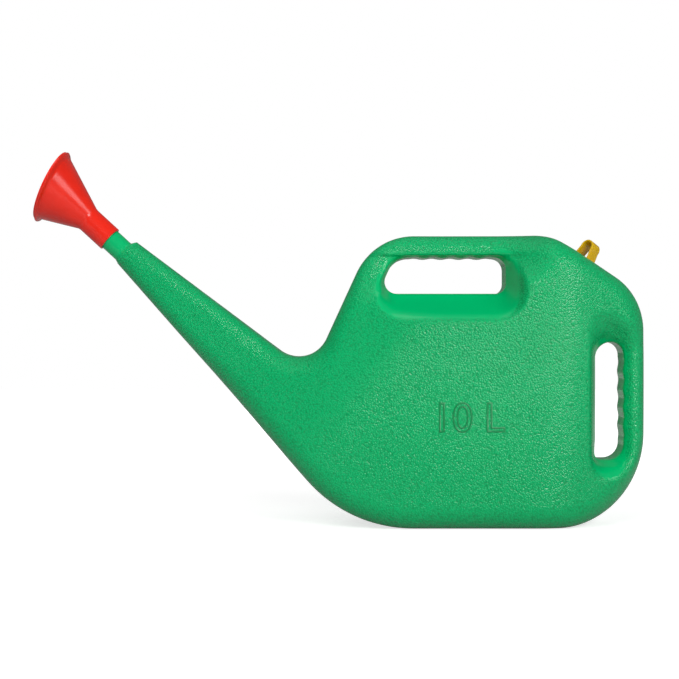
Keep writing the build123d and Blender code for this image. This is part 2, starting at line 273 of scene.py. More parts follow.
def distance(outline, x, z):
    """Distance from points to a closed outline, negative inside it."""
    nearest = np.full(x.shape, np.inf)
    inside = np.zeros(x.shape, bool)
    for (ax, az), (bx, bz) in zip(outline, np.roll(outline, -1, axis=0)):
        ex, ez = bx - ax, bz - az
        t = np.clip(((x - ax) * ex + (z - az) * ez) / (ex * ex + ez * ez), 0, 1)
        nearest = np.minimum(nearest, (x - ax - t * ex) ** 2 + (z - az - t * ez) ** 2)
        if az != bz:
            inside ^= ((az > z) != (bz > z)) & (x < ax + ex * (z - az) / ez)
    return np.sqrt(nearest) * np.where(inside, -1, 1)


def can_outline():
    """The whole can from the side; the spout runs on past its end, to be cut there."""
    past = 3 * SPOUT_END_RADIUS
    return rounded([
        (*step(END_LOW, SPOUT_LOW_ANGLE, -past), 0),
        (*TOE, TOE_RADIUS),
        (RIGHT_SIDE, 0, HEEL_RADIUS),
        (*SHOULDER, SHOULDER_RADIUS),
        (*CROWN, CROWN_RADIUS),
        (BROW_FOOT, TANK_TOP, BROW_RADIUS),
        (*THROAT, THROAT_RADIUS),
        (*step(END_HIGH, -SPOUT_TOP_SLOPE, -past), 0),
    ])


def leaning(left, z):
    """X at a height of the line that leans like the can's front, past the top hole's left corner."""
    return left + (z - TOP_HOLE[2]) / math.tan(math.radians(BROW_SLOPE))


def fingered(start, end, depth, middle):
    """Finger hollows in a straight edge that runs from start to end, as a run of points."""
    start, end = np.array(start, float), np.array(end, float)
    along = (end - start) / np.linalg.norm(end - start)
    out = np.array((along[1], -along[0]))
    centre = start + along * abs(middle - start @ np.abs(along))
    half_run = (2 * FINGERS - 1) * FINGER_PITCH / 4
    points = []
    for s in np.linspace(-half_run, half_run, 16 * FINGERS):
        wave = math.sin((s + half_run) / FINGER_PITCH * 2 * math.pi)
        points.append(centre + along * s + out * depth / 2 * (wave - 1))
    return points


def splice(outline, run):
    """An outline with a run of points put in where its longest edge on their side is."""
    run = np.array(run)
    middle = run.mean(axis=0)
    ends = np.roll(outline, -1, axis=0)
    lengths = np.linalg.norm(ends - outline, axis=1)
    t = np.clip(((middle - outline) * (ends - outline)).sum(axis=1) / lengths ** 2, 0, 1)
    gaps = np.linalg.norm(outline + (ends - outline) * t[:, None] - middle, axis=1)
    at = int(np.argmin(gaps)) + 1
    return np.vstack([outline[:at], run, outline[at:]])


def top_hole_outline(roof):
    """The top hand hole without finger hollows, its roof at some height."""
    left, right, floor, _ = TOP_HOLE
    toe, low_round, high_round, brow_round = TOP_HOLE_ROUNDS
    return rounded([
        (left, floor, toe),
        (right, floor, low_round),
        (right, roof, high_round),
        (leaning(left, roof), roof, brow_round),
    ])


def rear_hole_outline(right):
    """The rear hand hole without finger hollows, its right side at some X."""
    left, _, floor, roof = REAR_HOLE
    corners = (left, floor), (right, floor), (right, roof), (left, roof)
    return rounded([(x, z, radius) for (x, z), radius in zip(corners, REAR_HOLE_ROUNDS)])


def hole_outlines(depth):
    """The two hand holes from the side, with finger hollows in the edges under the grips."""
    left, right, _, roof = TOP_HOLE
    waves = fingered((right, roof), (leaning(left, roof), roof), depth, TOP_FINGERS_MIDDLE)
    top = splice(top_hole_outline(roof - depth / 2), waves)
    _, right, floor, roof = REAR_HOLE
    waves = fingered((right, floor), (right, roof), depth, REAR_FINGERS_MIDDLE)
    return top, splice(rear_hole_outline(right - depth / 2), waves)


def dish_outlines():
    """Where each recess starts at its hand hole, and where it reaches the can's side."""
    left, right, floor, roof = TOP_HOLE
    wide_left, wide_right, below = TOP_DISH
    low, high = floor - below, TOP_DISH_ROOF
    top = rounded([
        (leaning(left - wide_left, low), low, DISH_ROUND),
        (right + wide_right, low, DISH_ROUND),
        (right + wide_right, high, DISH_HIGH_ROUNDS[0]),
        (leaning(left - wide_left, high), high, DISH_HIGH_ROUNDS[1]),
    ])
    left, right, floor, roof = REAR_HOLE
    wide_left, above, below = REAR_DISH
    back = RIGHT_SIDE + HALF_DEPTH
    rear = rounded([
        (left - wide_left, floor - below, DISH_ROUND),
        (back, floor - below, 0),
        (back, roof + above, 0),
        (left - wide_left, roof + above, DISH_ROUND),
    ])
    return (top_hole_outline(TOP_HOLE[3]), top), (rear_hole_outline(REAR_HOLE[1]), rear)


# The skin as a distance field

def soft_min(a, b, reach):
    """The smaller of two values, blended where they are within reach of each other."""
    h = np.maximum(reach - np.abs(a - b), 0) / reach
    return np.minimum(a, b) - h * h * reach / 4


def soft_corner(a, b, radius):
    """Field of the space inside two others, with the edge between them rounded."""
    over_a, over_b = a + radius, b + radius
    inner = np.minimum(np.maximum(over_a, over_b), 0)
    return inner + np.hypot(np.maximum(over_a, 0), np.maximum(over_b, 0)) - radius


def smooth_step(low, high, value):
    """0 below low, 1 above high, and a smooth rise between them."""
    t = np.clip((value - low) / (high - low), 0, 1)
    return t * t * (3 - 2 * t)


def saddle(x, z, body):
    """Half depth of the top grip, and of the saddles that widen from its ends into the can."""
    grip = GRIP_HALF_DEPTH + GRIP_SWELL * smooth_step(0, GRIP_SWELL_REACH, z - TOP_HOLE[3])
    past_left = leaning(TOP_HOLE[0], z) - x
    right = (1 - smooth_step(*SADDLE_RIGHT, x)) * smooth_step(*RIGHT_RISE, z)
    left = (1 - smooth_step(*SADDLE_LEFT, past_left)) * smooth_step(*LEFT_RISE, z)
    return body + (grip - body) * np.where(past_left < 0, np.minimum(right, left), left)


def side_fields(x, z, sizes):
    """Everything the skin needs to know at points of the side view."""
    behind = (x - ROOT[0]) * unit(-SPOUT_ANGLE)[0] + (z - ROOT[1]) * unit(-SPOUT_ANGLE)[1]
    on_spout = ROOT_HALF_DEPTH + behind * (ROOT_HALF_DEPTH - SPOUT_END_RADIUS) / SPOUT_LENGTH
    cheek = ROOT_HALF_DEPTH + behind * (HALF_DEPTH - ROOT_HALF_DEPTH) / CHEEK_LENGTH
    cheek = -soft_min(-on_spout, -cheek, ROOT_BEND)
    taper = (HALF_DEPTH - REAR_HALF_DEPTH) / (RIGHT_SIDE - REAR_TAPER_START)
    rear = HALF_DEPTH - taper * (x - REAR_TAPER_START)
    body = soft_min(soft_min(np.full(x.shape, HALF_DEPTH), cheek, CHEEK_BEND), rear, REAR_BEND)
    half = np.minimum(body, saddle(x, z, body))
    under_grip = smooth_step(*UNDER_GRIP, z - TOP_HOLE[3]) * (1 - smooth_step(*SADDLE_RIGHT, x))
    for inner, outer in dish_outlines():
        from_hole = np.maximum(distance(inner, x, z), 0)
        past_rim = distance(outer, x, z)
        width = np.maximum(from_hole + np.abs(past_rim), 1.0)
        rise = np.where(past_rim < 0, from_hole / width, 1 + past_rim / TOP_DISH[1])
        rise = (np.hypot(rise, DISH_EASE) - DISH_EASE) / (math.hypot(1, DISH_EASE) - DISH_EASE)
        wall = GRIP_HALF_DEPTH + (HALF_DEPTH - GRIP_HALF_DEPTH) * rise
        least, more = DISH_SOFTENING
        reach = np.minimum(least + more * HALF_DEPTH / np.maximum(width, 2.5), DISH_SOFTNESS)
        half = soft_min(half, wall, reach + (GRIP_DISH_SOFTNESS - reach) * under_grip)
    lowered = np.clip((body - half) / np.maximum(body - GRIP_HALF_DEPTH, 1.0), 0, 1)
    edge = sizes.edge_radius / MM
    edge = np.where(behind < 0, edge + (edge - SPOUT_END_RADIUS) * behind / SPOUT_LENGTH, edge)
    front = smooth_step(*FRONT_RUN, leaning(TOP_HOLE[0], z) - x) * smooth_step(*FRONT_RISE, z)
    edge = edge + (sizes.front_edge_radius / MM - edge) * front
    crown = (1 - smooth_step(*CROWN_RUN, x)) * smooth_step(*CROWN_RISE, z) * (1 - front)
    edge = edge + (sizes.crown_radius / MM - edge) * crown
    edge = edge + (sizes.grip_edge_radius / MM - edge) * lowered
    top, rear_hole = hole_outlines(sizes.finger_depth / MM)
    holes = np.minimum(distance(top, x, z), distance(rear_hole, x, z))
    lip = sizes.hole_edge_radius / MM
    wide = np.maximum(smooth_step(*REAR_EDGE_RUN, x), 1 - smooth_step(*REAR_EDGE_RISE, z))
    lip = lip + (sizes.grip_inner_radius / MM - lip) * wide
    return {
        "outline": distance(can_outline(), x, z), "half": half, "edge": edge, "holes": holes, "lip": lip,
        "bare": bare_field(x, z),
    }


def bare_field(x, z):
    """How far each point is outside the parts of the recesses that have no grain."""
    (_, top), _ = dish_outlines()
    left, right, floor, roof = REAR_HOLE
    wide_left, above, below = REAR_BARE
    rear = rounded([
        (left - wide_left, floor - below, DISH_HIGH_ROUNDS[0]),
        (right, floor - below, DISH_HIGH_ROUNDS[0]),
        (right, roof + above, DISH_HIGH_ROUNDS[1]),
        (left - wide_left, roof + above, DISH_HIGH_ROUNDS[1]),
    ])
    top_bare = distance(top, x, z) + TOP_DISH[1] * smooth_step(*TOP_BARE_RUN, x - TOP_HOLE[1])
    return np.minimum(top_bare, distance(rear, x, z))


def skin_field(side, y):
    """Distance to the moulded skin, from the side view's fields and the depth."""
    over = np.abs(y) - side["half"]
    inward = np.clip(-over / side["half"], 0, 1)
    depth = over * (side["lean"] + (1 - side["lean"]) * inward)
    body = soft_corner(side["outline"], depth, side["edge"])
    return soft_corner(body, -side["holes"], side["lip"])


class SideView:
    """The side view's fields on a fine grid, read between its points."""

    def __init__(self, sizes):
        self.low = np.array(GRID_CORNER)
        self.count = np.array(GRID_COUNT)
        axes = [self.low[i] + FINE_CELL * np.arange(self.count[i]) for i in (0, 1)]
        x, z = np.meshgrid(*axes, indexing="ij")
        self.fields = side_fields(x, z, sizes)
        slope_x, slope_z = np.gradient(self.fields["half"], FINE_CELL)
        self.fields["lean"] = 1 / np.sqrt(1 + slope_x ** 2 + slope_z ** 2)

    def coarse(self):
        """The fields at every second point, and the X and Z there."""
        axes = [self.low[i] + CELL * np.arange((self.count[i] + 1) // 2) for i in (0, 1)]
        return {name: values[::2, ::2] for name, values in self.fields.items()}, axes

    def at(self, x, z):
        """The fields at any points."""
        u = np.clip((x - self.low[0]) / FINE_CELL, 0, self.count[0] - 1.001)
        v = np.clip((z - self.low[1]) / FINE_CELL, 0, self.count[1] - 1.001)
        i, j = u.astype(int), v.astype(int)
        u, v = u - i, v - j
        found = {}
        for name, f in self.fields.items():
            low = f[i, j] * (1 - u) + f[i + 1, j] * u
            high = f[i, j + 1] * (1 - u) + f[i + 1, j + 1] * u
            found[name] = low * (1 - v) + high * v
        return found


def skin_mesh(view):
    """Points and quads of the can's closed skin, in millimetres."""
    fields, (xs, zs) = view.coarse()
    ys = CELL * np.arange(math.ceil((HALF_DEPTH + BAND) / CELL) + 1)
    half = skin_field({name: f[:, None, :] for name, f in fields.items()}, ys[None, :, None])
    whole = np.concatenate([half[:, :0:-1], half], axis=1)
    grid = openvdb.FloatGrid(BAND)
    grid.copyFromArray(np.clip(whole, -BAND, BAND).astype(np.float32))
    points, quads = grid.convertToQuads(0.0)
    points = points.astype(float) * CELL + np.array((xs[0], -ys[-1], zs[0]))
    return project(points, view), quads


def project(points, view):
    """Points moved straight onto the skin, by about 1 mm at most in each of three rounds."""
    def value(p):
        return skin_field(view.at(p[:, 0], p[:, 2]), p[:, 1])

    for _ in range(3):
        here = value(points)
        slope = np.empty_like(points)
        for axis in range(3):
            ahead, behind = points.copy(), points.copy()
            ahead[:, axis] += NUDGE
            behind[:, axis] -= NUDGE
            slope[:, axis] = (value(ahead) - value(behind)) / (2 * NUDGE)
        size = np.maximum((slope ** 2).sum(axis=1), 0.05)
        points = points - np.clip(here / size, -1, 1)[:, None] * slope
    return points


# Meshes

def square_to(point, angle):
    """Centre, two directions across and the direction along an angle in the can's middle plane."""
    ux, uz = unit(angle)
    centre = np.array((point[0], 0, point[1]))
    return centre, np.array((0, 1.0, 0)), np.array((-uz, 0, ux)), np.array((ux, 0, uz))


def to_object(name, mesh, body):
    """A piece of the can made from a finished mesh."""
    obj = bpy.data.objects.new(name, mesh)
    bpy.context.scene.collection.objects.link(obj)
    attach(obj, body)
    return obj


def open_loop(bm, inside):
    """The boundary edges left when the faces inside a region are taken away."""
    bmesh.ops.delete(bm, geom=[f for f in bm.faces if all(inside(v.co) for v in f.verts)], context="FACES")
    loose = [v for v in bm.verts if not v.link_faces]
    bmesh.ops.delete(bm, geom=loose, context="VERTS")
    return [e for e in bm.edges if e.is_boundary and all(inside(v.co, 3 * CELL) for v in e.verts)]


def grow_rings(bm, edges, frame_of, rings, sharp):
    """Rings of new faces from an open edge; each ring is (along, radius, shift across).

    The edges of the rings whose numbers are in sharp stay crisp.
    """
    centre, side, across, along = frame_of
    angles = {}
    for vert in {v for e in edges for v in e.verts}:
        spoke = np.array(vert.co) / MM - centre
        angles[vert] = math.atan2(spoke @ across, spoke @ side)

    def place(vert, ring):
        run, radius, shift = ring
        spoke = side * math.cos(angles[vert]) + across * math.sin(angles[vert])
        vert.co = Vector((centre + along * run + across * shift + spoke * radius) * MM)

    for vert in angles:
        place(vert, rings[0])
    for number, ring in enumerate(rings[1:], 1):
        made = bmesh.ops.extrude_edge_only(bm, edges=edges)["geom"]
        edges = [g for g in made if isinstance(g, bmesh.types.BMEdge) and g.is_boundary]
        fresh = {v for e in edges for v in e.verts}
        for vert in fresh:
            spoke = np.array(vert.co) / MM - centre
            shift = rings[number - 1][2]
            angles[vert] = math.atan2((spoke @ across) - shift, spoke @ side)
        for vert in fresh:
            place(vert, ring)
        if number in sharp:
            for edge in edges:
                edge.smooth = False
    return edges


def build_skin(sizes):
    """The can's skin as one open sheet, with the neck and the filler's seat grown from its mouths."""
    view = SideView(sizes)
    points, quads = skin_mesh(view)
    mesh = bpy.data.meshes.new("can_skin")
    mesh.from_pydata((points * MM).tolist(), [], quads.tolist())
    bm = bmesh.new()
    bm.from_mesh(mesh)

    end = square_to(SPOUT_END, OUTWARD)
    geom = bm.verts[:] + bm.edges[:] + bm.faces[:]
    bmesh.ops.bisect_plane(
        bm, geom=geom, plane_co=end[0] * MM, plane_no=end[3], clear_outer=True, dist=0.2 * MM
    )
    rim = [e for e in bm.edges if e.is_boundary]
    rings = [
        (0, SPOUT_END_RADIUS, 0),
        (0.5, SPOUT_END_RADIUS - 0.6, 0),
        (NECK_SHOULDER - 0.4, NECK_RADIUS + 0.3, NECK_DROP),
        (NECK_SHOULDER + 0.2, NECK_RADIUS, NECK_DROP),
        (NECK_SHOULDER + 1.5, NECK_RADIUS, NECK_DROP),
        (ROSE_GAP, NECK_RADIUS, NECK_DROP),
        (NECK_LENGTH - 0.5, NECK_RADIUS, NECK_DROP),
        (NECK_LENGTH, NECK_RADIUS - 0.4, NECK_DROP),
    ]
    grow_rings(bm, rim, end, rings, sharp=())

    seat = square_to(FILLER, FILLER_ANGLE)
    seat_edge = SEAT_RADIUS + 0.5

    def on_seat(co, margin=0.0):
        spoke = np.array(co) / MM - seat[0]
        out = spoke @ seat[3]
        return abs(out) < 1.0 and math.sqrt(max(spoke @ spoke - out * out, 0)) < seat_edge + margin

    rim = open_loop(bm, on_seat)
    rings = [
        (0, seat_edge, 0),
        (-0.15, SEAT_RADIUS + 0.15, 0),
        (-0.5, SEAT_RADIUS, 0),
        (-SEAT_DEPTH, SEAT_RADIUS, 0),
        (-SEAT_DEPTH, FILLER_RADIUS + 0.4, 0),
        (-SEAT_DEPTH - 0.4, FILLER_RADIUS, 0),
        (-SEAT_DEPTH - COLLAR_LENGTH, FILLER_RADIUS, 0),
    ]
    grow_rings(bm, rim, seat, rings, sharp=(3,))

    bmesh.ops.recalc_face_normals(bm, faces=bm.faces)
    for face in bm.faces:
        face.smooth = True
    bm.to_mesh(mesh)
    bm.free()

    co = np.empty(len(mesh.vertices) * 3)
    mesh.vertices.foreach_get("co", co)
    co = co.reshape(-1, 3) / MM
    side = view.at(co[:, 0], co[:, 2])
    on_top_grip = smooth_step(*GRAIN_ON_TOP_GRIP, co[:, 2] - TOP_HOLE[3])
    on_top_grip = on_top_grip * (1 - smooth_step(*GRAIN_END, co[:, 0]))
    on_rear_grip = smooth_step(*GRAIN_ON_REAR_GRIP, co[:, 0] - REAR_HOLE[1])
    grip = np.maximum(on_top_grip, on_rear_grip)
    grain = np.maximum(smooth_step(*BARE_FADE, side["bare"]), grip)
    outward = (co[:, 0] - SPOUT_END[0]) * end[3][0] + (co[:, 2] - SPOUT_END[1]) * end[3][2]
    grain = grain * (1 - smooth_step(-0.5, 0.5, outward)) * smooth_step(*HOLE_FADE, side["holes"])
    mesh.attributes.new("grain", "FLOAT", "POINT").data.foreach_set("value", grain)
    return mesh


def ring(point, angle, radius, count=96):
    """Points of a circle square to an angle in the can's middle plane."""
    centre, side, across, _ = square_to(point, angle)
    turns = np.linspace(0, 2 * math.pi, count, endpoint=False)
    return centre + radius * (np.cos(turns)[:, None] * side + np.sin(turns)[:, None] * across)


def rings_mesh(name, rings, closed):
    """Mesh of quads through rings of points in millimetres; closed joins the last to the first."""
    count = len(rings[0])
    points = np.vstack(rings) * MM
    total = len(rings)
    faces = []
    for i in range(total if closed else total - 1):
        for j in range(count):
            k = (j + 1) % count
            a, b = i * count, (i + 1) % total * count
            faces.append((a + j, a + k, b + k, b + j))
    if not closed:
        faces += [tuple(range(count)), tuple(range((total - 1) * count, total * count))]
    mesh = bpy.data.meshes.new(name)
    mesh.from_pydata(points.tolist(), [], faces)
    bm = bmesh.new()
    bm.from_mesh(mesh)
    bmesh.ops.remove_doubles(bm, verts=bm.verts, dist=0.001 * MM)
    bmesh.ops.recalc_face_normals(bm, faces=bm.faces)
    for face in bm.faces:
        face.smooth = len(face.verts) <= 4
    bm.to_mesh(mesh)
    bm.free()
    mesh.set_sharp_from_angle(angle=math.radians(50))
    return mesh


def rose_cone_mesh():
    """Socket, slanted cone and rolled rim of the rose, inside and out."""
    def along(run, radius):
        return ring(step(ROSE_MOUTH, OUTWARD, run), OUTWARD, radius)

    def on_cone(t, less, drop=0.0):
        start = ring(ROSE_JOINT, OUTWARD, SOCKET_RADIUS - less)
        end = ring(step(ROSE_RIM, FACE_ANGLE + 90, drop), FACE_ANGLE, CONE_RIM_RADIUS - less)
        return start + t * (end - start)

    def at_rim(run, radius, drop=0.0):
        centre = step(step(ROSE_RIM, FACE_ANGLE, run), FACE_ANGLE + 90, drop)
        return ring(centre, FACE_ANGLE, radius)

    rings = [along(0, SOCKET_RADIUS - 0.5), along(0.4, SOCKET_RADIUS)]
    rings += [along(run, SOCKET_RADIUS) for run in np.linspace(1.5, SOCKET_LENGTH - 1.5, 8)]
    rings += [on_cone(t, 0) for t in (0.02, 0.05, 0.2, 0.4, 0.6, 0.8, 0.9)]
    lip = RIM_RADIUS + LIP_DROP - CONE_RIM_RADIUS
    rings += [on_cone(t, -lip * flare, LIP_DROP * flare) for t, flare in LIP]
    rings += [at_rim(-0.4, RIM_RADIUS + LIP_DROP - 0.1, LIP_DROP)]
    rings += [at_rim(0, RIM_RADIUS + LIP_DROP - 0.5, LIP_DROP)]
    rings += [at_rim(0, CONE_RIM_RADIUS - CONE_WALL)]
    rings += [on_cone(t, CONE_WALL) for t in (0.9, 0.7, 0.5, 0.3, 0.1)]
    rings += [along(SOCKET_LENGTH, SOCKET_RADIUS - CONE_WALL), along(SOCKET_LENGTH, STOP_BORE_RADIUS)]
    rings += [along(SOCKET_DEPTH, STOP_BORE_RADIUS), along(SOCKET_DEPTH, SOCKET_BORE)]
    rings += [along(0.4, SOCKET_BORE), along(0, SOCKET_BORE + 0.4)]
    return rings_mesh("rose_cone", rings, closed=True)


def bung_mesh():
    """The bung's flange, hollow skirt with ribs, and boss."""
    base = step(FILLER, FILLER_ANGLE, SEAT_GAP - SEAT_DEPTH)

    def at(run, radius):
        return ring(step(base, FILLER_ANGLE, run), FILLER_ANGLE, radius)

    top = FLANGE_THICKNESS
    profile = [(0, FLANGE_RADIUS - 0.3), (0.3, FLANGE_RADIUS), (top - 0.6, FLANGE_RADIUS)]
    profile += [(top - 0.2, FLANGE_RADIUS - 0.2), (top, FLANGE_RADIUS - 0.7), (top, FLANGE_RADIUS - 2)]
    profile += [(top, BOSS_RADIUS + 0.6), (top + 0.5, BOSS_RADIUS), (top + BOSS_HEIGHT - 0.5, BOSS_RADIUS)]
    profile += [(top + BOSS_HEIGHT, BOSS_RADIUS - 0.5), (top + BOSS_HEIGHT, BOSS_RADIUS - 2)]
    profile += [(top + BOSS_HEIGHT, 0.05), (0, 0.05), (0, SKIRT_RADIUS - BUNG_WALL)]
    profile += [(-SKIRT_LENGTH, SKIRT_RADIUS - BUNG_WALL), (-SKIRT_LENGTH, SKIRT_RADIUS)]
    for depth in RIB_DEPTHS[::-1]:
        profile += [(-depth - RIB_HEIGHT, SKIRT_RADIUS), (-depth - RIB_HEIGHT + 0.4, RIB_RADIUS)]
        profile += [(-depth - 0.4, RIB_RADIUS), (-depth, SKIRT_RADIUS)]
    profile += [(0, SKIRT_RADIUS)]
    return rings_mesh("bung", [at(run, radius) for run, radius in profile], closed=True)


def strap_mesh():
    """The bung's finger loop: a flat strap bent into an arch, its edges rounded."""
    lift = SEAT_GAP - SEAT_DEPTH + FLANGE_THICKNESS + BOSS_HEIGHT
    centre, side, across, along = square_to(step(FILLER, FILLER_ANGLE, lift), FILLER_ANGLE)
    turn = math.radians(90 - STRAP_TURN)
    span = side * math.cos(turn) + across * math.sin(turn)
    through = across * math.cos(turn) - side * math.sin(turn)
    foot = (STRAP_SPAN - STRAP_THICKNESS) / 2
    top = STRAP_HEIGHT - STRAP_THICKNESS / 2 - STRAP_BEND
    lean = math.atan2(top, foot) - math.acos(STRAP_BEND / math.hypot(foot, top))
    reach = STRAP_BEND * math.cos(lean), top + STRAP_BEND * math.sin(lean)
    leg = [
        (foot + (reach[0] - foot) * t, -STRAP_SINK + (reach[1] + STRAP_SINK) * t, lean)
        for t in np.linspace(0, 1, 8)
    ]
    bend = []
    for angle in np.linspace(lean, math.pi - lean, 31)[1:-1]:
        bend.append((STRAP_BEND * math.cos(angle), top + STRAP_BEND * math.sin(angle), angle))
    path = leg + bend + [(-x, z, math.pi - angle) for x, z, angle in reversed(leg)]
    half_w, half_t = STRAP_WIDTH / 2, STRAP_THICKNESS / 2
    section = []
    for sw, st in ((1, 1), (-1, 1), (-1, -1), (1, -1)):
        for k in range(4):
            angle = math.atan2(st, sw) + math.radians(-45 + 30 * k)
            section.append((
                sw * (half_w - STRAP_EDGE) + STRAP_EDGE * math.cos(angle),
                st * (half_t - STRAP_EDGE) + STRAP_EDGE * math.sin(angle),
            ))
    rings = []
    for x, z, angle in path:
        out = span * math.cos(angle) + along * math.sin(angle)
        middle = centre + span * x + along * z
        rings.append(np.array([middle + through * w + out * t for w, t in section]))
    return rings_mesh("bung_loop", rings, closed=False)


# Materials

def linear(code):
    """Linear colour of an sRGB hex value."""
    parts = [int(code[i:i + 2], 16) / 255 for i in (1, 3, 5)]
    return tuple(p / 12.92 if p <= 0.04045 else ((p + 0.055) / 1.055) ** 2.4 for p in parts)


def add(tree, kind, settings=None, links=None):
    """A node with its settings and its links."""
    node = tree.nodes.new(kind)
    for name, value in (settings or {}).items():
        if isinstance(name, int) or name in node.inputs:
            node.inputs[name].default_value = value
        else:
            setattr(node, name, value)
    for name, socket in (links or {}).items():
        tree.links.new(socket, node.inputs[name])
    return node


def new_material(name):
    """A new material and its empty node tree."""
    material = bpy.data.materials.new(name)
    material.use_nodes = True
    material.node_tree.nodes.clear()
    return material, material.node_tree


def seen_white(tree):
    """1 where a ray should see the white background, and a share of it in the gloss."""
    rays = add(tree, "ShaderNodeLightPath")
    through = add(tree, "ShaderNodeMath", {"operation": "MAXIMUM"},
                  {0: rays.outputs["Is Camera Ray"], 1: rays.outputs["Is Transmission Ray"]})
    return add(tree, "ShaderNodeMath", {"operation": "MULTIPLY_ADD", 1: GLOSS_SHARE},
               {0: rays.outputs["Is Glossy Ray"], 2: through.outputs[0]})


def polyethylene(colours, sizes):
    """Green blow-moulded polyethylene, with a pebble grain that the recesses, holes and neck lack.

    The eye gets a broad satin sheen that the grain breaks into small lights and darks, and a clean
    smooth green where the mould had no grain. A deeper green is painted into the pits between the
    pebbles as painted shade, and drifts a little from place to place. The real grain is about 1 mm
    apart, too fine to show in the render, so it is drawn as coarse as it needs to show. Its bumps
    scatter the gloss by themselves, so the shader's own roughness and gloss are low.
    """
    material, tree = new_material("polyethylene_blow_moulded")
    place = add(tree, "ShaderNodeTexCoord").outputs["Object"]
    cells = add(tree, "ShaderNodeTexVoronoi", {"feature": "F1", "Scale": 1 / sizes.grain_pitch},
                {"Vector": place})
    grain = add(tree, "ShaderNodeAttribute", {"attribute_name": "grain"})
    height = add(tree, "ShaderNodeMath", {"operation": "MULTIPLY"},
                 {0: cells.outputs["Distance"], 1: grain.outputs["Fac"]})
    bump = add(tree, "ShaderNodeBump", {"Strength": 1.0, "Distance": sizes.grain_depth, "invert": True},
               {"Height": height.outputs[0]})
    drift = add(tree, "ShaderNodeTexNoise", {"Scale": CLOUDS, "Detail": 3.0}, {"Vector": place})
    # Painted shade: the deeper green darkens the pits between the pebbles, and drifts a little from place to
    # place
    pit_shade = add(tree, "ShaderNodeMath", {"operation": "SUBTRACT", 1: PIT_SHADE_START}, {0: height.outputs[0]})
    shade_and_drift = add(tree, "ShaderNodeMath", {"operation": "MULTIPLY_ADD", 1: CLOUD_SHARE},
               {0: drift.outputs["Fac"], 2: pit_shade.outputs[0]})
    paint = add(tree, "ShaderNodeMix", {"data_type": "RGBA"}, {"Factor": shade_and_drift.outputs[0]})
    paint.inputs["A"].default_value = (*colours.can, 1)
    paint.inputs["B"].default_value = (*colours.can_drift_and_shade, 1)
    shader = add(tree, "ShaderNodeBsdfPrincipled", {"Roughness": 0.2, "IOR": 1.54, "Specular IOR Level": 0.3},
                 {"Base Color": paint.outputs["Result"], "Normal": bump.outputs["Normal"]})
    add(tree, "ShaderNodeOutputMaterial", links={"Surface": shader.outputs[0]})
    return material


def moulded(name, colour, deep, roughness, ior, glow=0.0):
    """Smooth moulded plastic: clear highlights, which faint flow marks make a little uneven."""
    material, tree = new_material(name)
    place = add(tree, "ShaderNodeTexCoord").outputs["Object"]
    flow = add(tree, "ShaderNodeTexNoise", {"Scale": FLOW_MARKS, "Detail": 2.0}, {"Vector": place})
    paint = add(tree, "ShaderNodeMix", {"data_type": "RGBA"}, {"Factor": flow.outputs["Fac"]})
    paint.inputs["A"].default_value = (*colour, 1)
    paint.inputs["B"].default_value = (*deep, 1)
    bump = add(tree, "ShaderNodeBump", {"Strength": 0.05, "Distance": 0.3 * MM},
               {"Height": flow.outputs["Fac"]})
    finish = {
        "Roughness": roughness, "IOR": ior,
        "Subsurface Weight": glow, "Subsurface Scale": 2 * MM, "Subsurface Radius": (1.0, 0.8, 0.2),
    }
    shader = add(tree, "ShaderNodeBsdfPrincipled", finish,
                 {"Base Color": paint.outputs["Result"], "Normal": bump.outputs["Normal"]})
    add(tree, "ShaderNodeOutputMaterial", links={"Surface": shader.outputs[0]})
    return material


def floor_material(colour):
    """Matt paper, rolled smooth: no gloss, so the eye sees only the can's soft shadow on it.

    It glows to white away from the can, and less near it, where its shadow lies.
    """
    material, tree = new_material("matt_paper")
    seen = seen_white(tree)
    place = add(tree, "ShaderNodeTexCoord").outputs["Object"]
    away = add(tree, "ShaderNodeVectorMath", {"operation": "LENGTH"}, {0: place})
    glow = add(tree, "ShaderNodeMapRange", FLOOR_GLOW, {"Value": away.outputs["Value"]})
    white = add(tree, "ShaderNodeMath", {"operation": "MULTIPLY"},
                {0: seen.outputs[0], 1: glow.outputs["Result"]})
    matt = add(tree, "ShaderNodeBsdfDiffuse", {"Color": (*colour, 1)})
    shine = add(tree, "ShaderNodeEmission", {"Color": (1, 1, 1, 1)}, {"Strength": white.outputs[0]})
    both = add(tree, "ShaderNodeAddShader", links={0: matt.outputs[0], 1: shine.outputs[0]})
    add(tree, "ShaderNodeOutputMaterial", links={"Surface": both.outputs[0]})
    return material


# Settings

